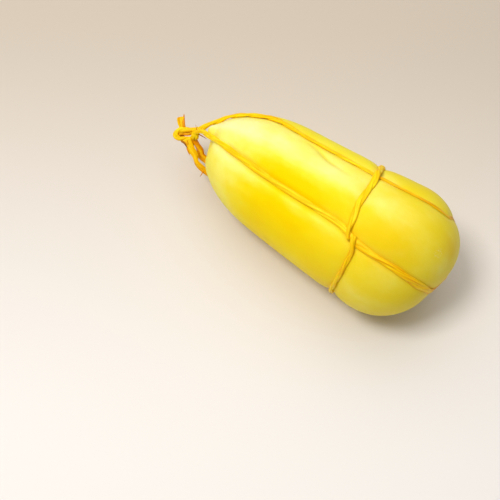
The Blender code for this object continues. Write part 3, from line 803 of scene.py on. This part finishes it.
# Stray fibres: where the raffia is cut or rubbed it frays into thin dry tips, browner than the rest. The
# second is a dark brown piece behind the knot's bight that fills its slit with painted shade. Each has its
# stations by the knot, its width where it leaves the cord, and its first and last tint.
FRAYS_AND_SHADE = (
    (((-0.0014, 0.0040, 0.0006), (-0.0017, 0.0085, 0.0012), (-0.0014, 0.0152, 0.0010)), 0.0027, 0.9, 1.8),
    # No fray: a dark brown piece behind the bight that fills its slit with painted shade.
    (((-0.0052, -0.0013, -0.0022), (-0.0030, -0.0013, -0.0022), (-0.0012, -0.0012, -0.0022)),
     0.0030, 2.3, 2.3),
    (((0.0096, 0.0004, 0.0048), (0.0084, 0.0031, 0.0052), (0.0077, 0.0066, 0.0048)), 0.0008, 1.7, 2.1),
    (((0.0098, -0.0008, 0.0046), (0.0132, -0.0026, 0.0042), (0.0161, -0.0044, 0.0036)), 0.0010, 1.6, 2.2),
    (((0.0132, -0.0284, 0.0004), (0.0120, -0.0307, 0.0), (0.0106, -0.0328, 0.0)), 0.0010, 1.2, 2.1),
    (((-0.0037, -0.0053, 0.0012), (-0.0012, -0.0072, 0.0016), (0.0012, -0.0110, 0.0018)), 0.0018, 1.9, 2.4),
    (((0.0006, -0.0102, 0.0006), (0.0018, -0.0138, 0.0004), (0.0030, -0.0165, 0.0)), 0.0012, 1.2, 2.0),
    (((0.0024, -0.0110, 0.0), (0.0036, -0.0140, -0.0004), (0.0050, -0.0172, -0.0006)), 0.0012, 0.8, 1.6),
)
FRAY_THINNING = 0.8
FRAY_THINNING_POWER = 1.5
FRAY_FLATNESS = 0.7

frays_and_shade = []
for stations, width, first_tint, last_tint in FRAYS_AND_SHADE:
    path = smooth_curve(at_knot(stations), KNOT_STEP)
    share = np.linspace(0, 1, len(path))
    widths = width * (1 - FRAY_THINNING * share**FRAY_THINNING_POWER)
    normals = np.tile(KNOT_OUT, (len(path), 1))
    frays_and_shade.append(ply(path, normals, widths, widths * FRAY_FLATNESS, np.zeros(len(path)),
                     np.linspace(first_tint, last_tint, len(path)), rng))
raffia_piece("raffia_frays_and_shade", frays_and_shade, "raffia_tie")

# The cord round the girth: two plies of the same raffia, twisted a little tighter. It rides over the
# lengthwise strands, and its pointed end lies over its own tail by the front strand.
GIRTH_WIDTH = 0.0050
GIRTH_TAIL_WIDTH = 0.0034
GIRTH_THICKNESS = 0.0024
GIRTH_BELLY_THICKNESS = 0.0015
GIRTH_RISE = 0.0027
HITCH_SHARE = 0.05
HITCH_POINT = 0.35
TAIL_SHARES = (0.5, 0.8)
GIRTH_PITCH = 0.030

belly = belly_share(GIRTH_RUN)
thicknesses = GIRTH_THICKNESS * (1 - belly) + GIRTH_BELLY_THICKNESS * belly
path = lift(GIRTH_RUN, thicknesses)
normals = unit(slope(GIRTH_RUN))
for loop in (TOP_LOOP, FRONT_LOOP):
    hump = dip(nearest(GIRTH_RUN, loop)[0], (GIRTH_RISE, CROSSING_HALF_WIDTH))
    path = path + normals * hump[:, None]
share = np.linspace(0, 1, len(path))
point = np.interp(share, (0, HITCH_SHARE), (HITCH_POINT, 1))
widths = np.interp(share, TAIL_SHARES, (GIRTH_WIDTH, GIRTH_TAIL_WIDTH)) * point
plies = twisted(path, normals, widths, thicknesses, GIRTH_PITCH, rng)
raffia_piece("raffia_girth_cord", plies, "raffia_girth")

# The table: a plain pale matt surface that the cheese lies on. Its colour turns a little darker and warmer
# towards its far side: a painted falloff of the light.
NEAR_WHITE = (0.84, 0.805, 0.775)
FAR_SHADED_BEIGE = (0.60, 0.52, 0.43)
FAR_DIRECTION = (-0.60, 0.80, 0.0)
FAR_REACH = (-0.20, 0.24)
TABLE_SIZE = 3.0

table_top, tone = new_finish("pale_table", {"Roughness": 0.7, "Specular IOR Level": 0.2})
place = tone.node("TexCoord", {}, {}, "Object")
away = place.node("VectorMath", {"operation": "DOT_PRODUCT"}, {0: place, 1: FAR_DIRECTION}, "Value")
# Painted shade: darker and warmer towards the far side.
feed(table_top, Base_Color=away.between(*FAR_REACH).blend(NEAR_WHITE, FAR_SHADED_BEIGE))
corner = TABLE_SIZE / 2
mesh = bpy.data.meshes.new("table")
mesh.from_pydata([(-corner, -corner, 0), (corner, -corner, 0), (corner, corner, 0), (-corner, corner, 0)], [],
                 [(0, 1, 2, 3)])
mesh.materials.append(table_top)
table = bpy.data.objects.new("table", mesh)
bpy.context.scene.collection.objects.link(table)

# The light: a soft window high above on the camera's left, a large pale ceiling a little behind it, and a
# pale room all round.
WINDOW_DIRECTION = (-0.22, -0.36, 0.90)
WINDOW_DISTANCE = 1.5
WINDOW_SIZE = 0.45
WINDOW_POWER = 13.0
CEILING_DIRECTION = (-0.20, 0.20, 0.95)
CEILING_DISTANCE = 1.1
CEILING_SIZE = 1.5
CEILING_POWER = 8.0
LAMP_COLOUR = (1.0, 0.985, 0.96)
ROOM_COLOUR = (1.0, 0.98, 0.95, 1)
ROOM_STRENGTH = 0.28


def soft_light(name, direction, distance, size, power):
    """A square soft light that shines on the cheese from a direction."""
    lamp = bpy.data.lights.new(name, "AREA")
    lamp.size = size
    lamp.energy = power
    lamp.color = LAMP_COLOUR
    light = bpy.data.objects.new(name, lamp)
    place = Vector(direction).normalized()
    light.location = place * distance + Vector((0, 0, MID_RADIUS))
    light.rotation_euler = place.to_track_quat("Z", "Y").to_euler()
    bpy.context.scene.collection.objects.link(light)


soft_light("window", WINDOW_DIRECTION, WINDOW_DISTANCE, WINDOW_SIZE, WINDOW_POWER)
soft_light("ceiling", CEILING_DIRECTION, CEILING_DISTANCE, CEILING_SIZE, CEILING_POWER)
room = bpy.data.worlds.new("room")
room.use_nodes = True
background = room.node_tree.nodes["Background"]
background.inputs["Color"].default_value = ROOM_COLOUR
background.inputs["Strength"].default_value = ROOM_STRENGTH
bpy.context.scene.world = room

# The camera: above the front, looking down on the cheese as the photograph does. Its place follows from
# the pixel that the middle of the cheese falls on.
CAMERA_AZIMUTH = 39.5
CAMERA_ELEVATION = 62
CAMERA_DEPTH = 0.537
IMAGE_SIZE = 500
FOCAL_PIXELS = 750
AIM_POINT = Vector((0, 0, 0.044))
AIM_PIXEL = (320.4, 206.0)
SENSOR_WIDTH = 36

azimuth = math.radians(CAMERA_AZIMUTH)
elevation = math.radians(CAMERA_ELEVATION)
back = Vector((math.sin(azimuth) * math.cos(elevation), -math.cos(azimuth) * math.cos(elevation),
               math.sin(elevation)))
right = Vector((math.cos(azimuth), math.sin(azimuth), 0))
up = back.cross(right)
aside = (AIM_PIXEL[0] - IMAGE_SIZE / 2) / FOCAL_PIXELS * CAMERA_DEPTH
above = (IMAGE_SIZE / 2 - AIM_PIXEL[1]) / FOCAL_PIXELS * CAMERA_DEPTH
stand = Matrix((right, up, back)).transposed().to_4x4()
stand.translation = AIM_POINT - aside * right - above * up + CAMERA_DEPTH * back
camera = bpy.data.objects.new("camera", bpy.data.cameras.new("camera"))
camera.matrix_world = stand
camera.data.sensor_width = SENSOR_WIDTH
camera.data.lens = FOCAL_PIXELS / IMAGE_SIZE * SENSOR_WIDTH
camera.data.clip_start = 0.01
bpy.context.scene.collection.objects.link(camera)
bpy.context.scene.camera = camera
bpy.context.scene.view_settings.view_transform = "Standard"
